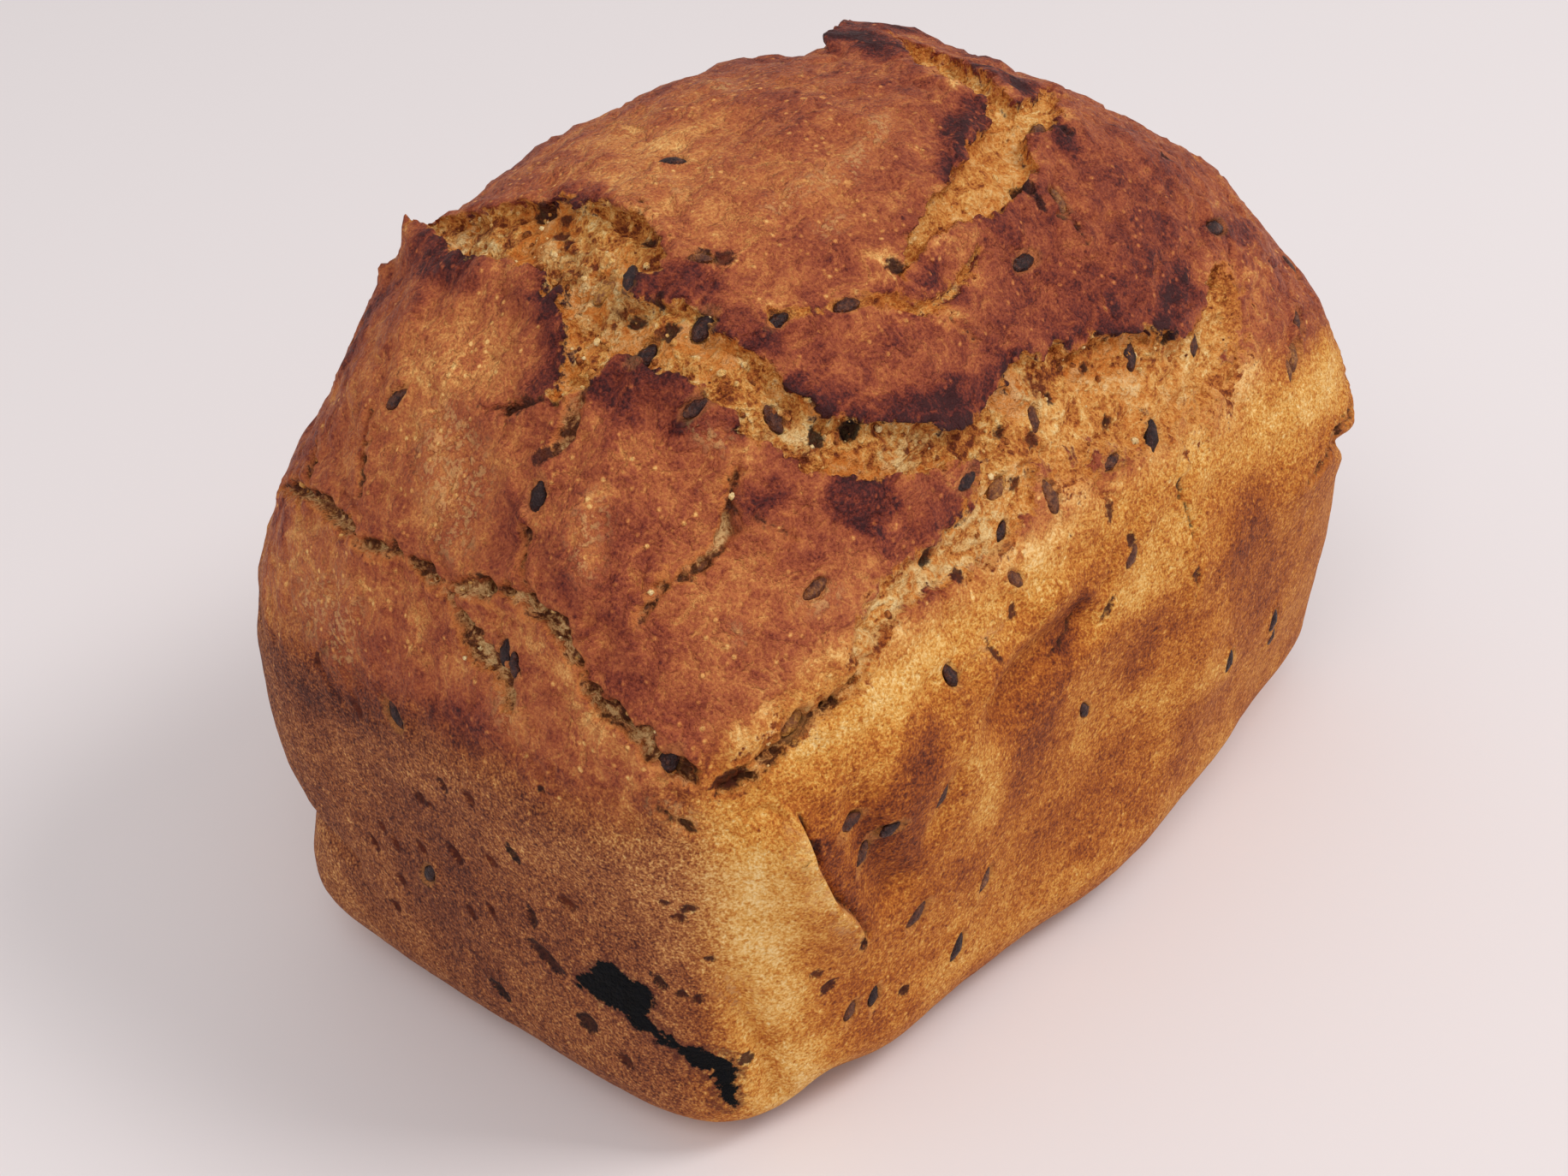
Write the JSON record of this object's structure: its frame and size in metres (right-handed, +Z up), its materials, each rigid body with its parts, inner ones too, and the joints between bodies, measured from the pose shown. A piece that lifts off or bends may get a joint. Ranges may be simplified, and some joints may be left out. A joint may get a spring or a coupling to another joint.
{
  "type": "rye tin loaf",
  "caption": "Whole rye tin loaf: a tapered block with upright walls and a domed top crust that is torn and cracked, with flax seeds baked into it.",
  "frame": {"origin": "centre of the box that the loaf fills, at the level of its flat base", "axes": "+X along the loaf, +Y across it, +Z up"},
  "size_m": [0.1698, 0.1126, 0.1227],
  "materials": {
    "crust": "baked crust, matte with a slight sheen on the browned top"
  },
  "bodies": {
    "root": {"loaf": "crust"}
  },
  "joints": []
}
